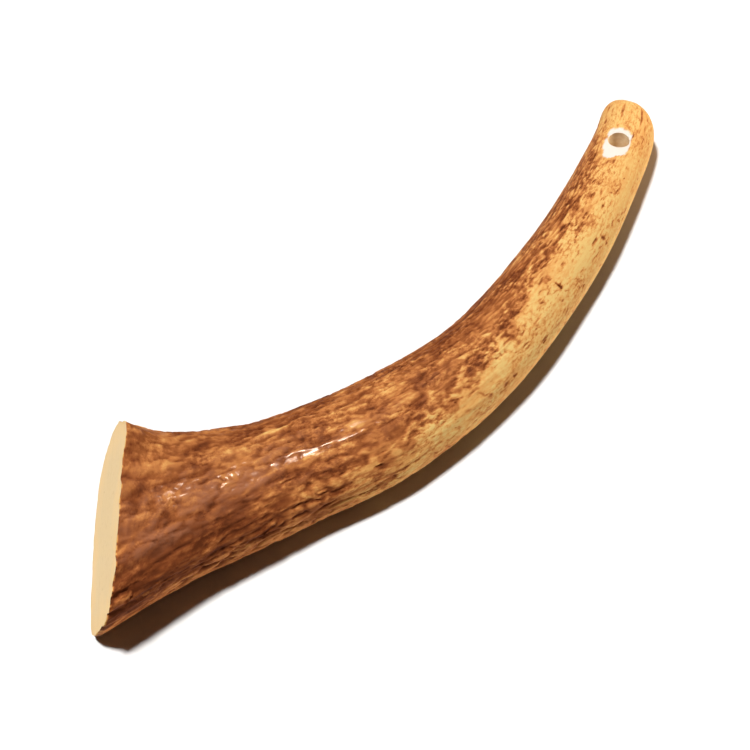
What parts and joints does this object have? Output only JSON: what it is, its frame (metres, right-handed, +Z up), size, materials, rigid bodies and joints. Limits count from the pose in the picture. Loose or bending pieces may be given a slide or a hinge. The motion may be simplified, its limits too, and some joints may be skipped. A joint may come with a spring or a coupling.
{
  "type": "deer antler",
  "caption": "Length of deer antler, sawn flat at its flared base and drilled through near its blunt tip for a cord.",
  "frame": {"origin": "middle of the antler's box, on the surface that it lies on", "axes": "+X from the sawn end towards the tip, +Y towards the inside of the curve, +Z up"},
  "size_m": [0.2188, 0.0586, 0.0322],
  "materials": {
    "bark": "semi-gloss stained bone"
  },
  "bodies": {
    "root": {"antler": "bark"}
  },
  "joints": []
}
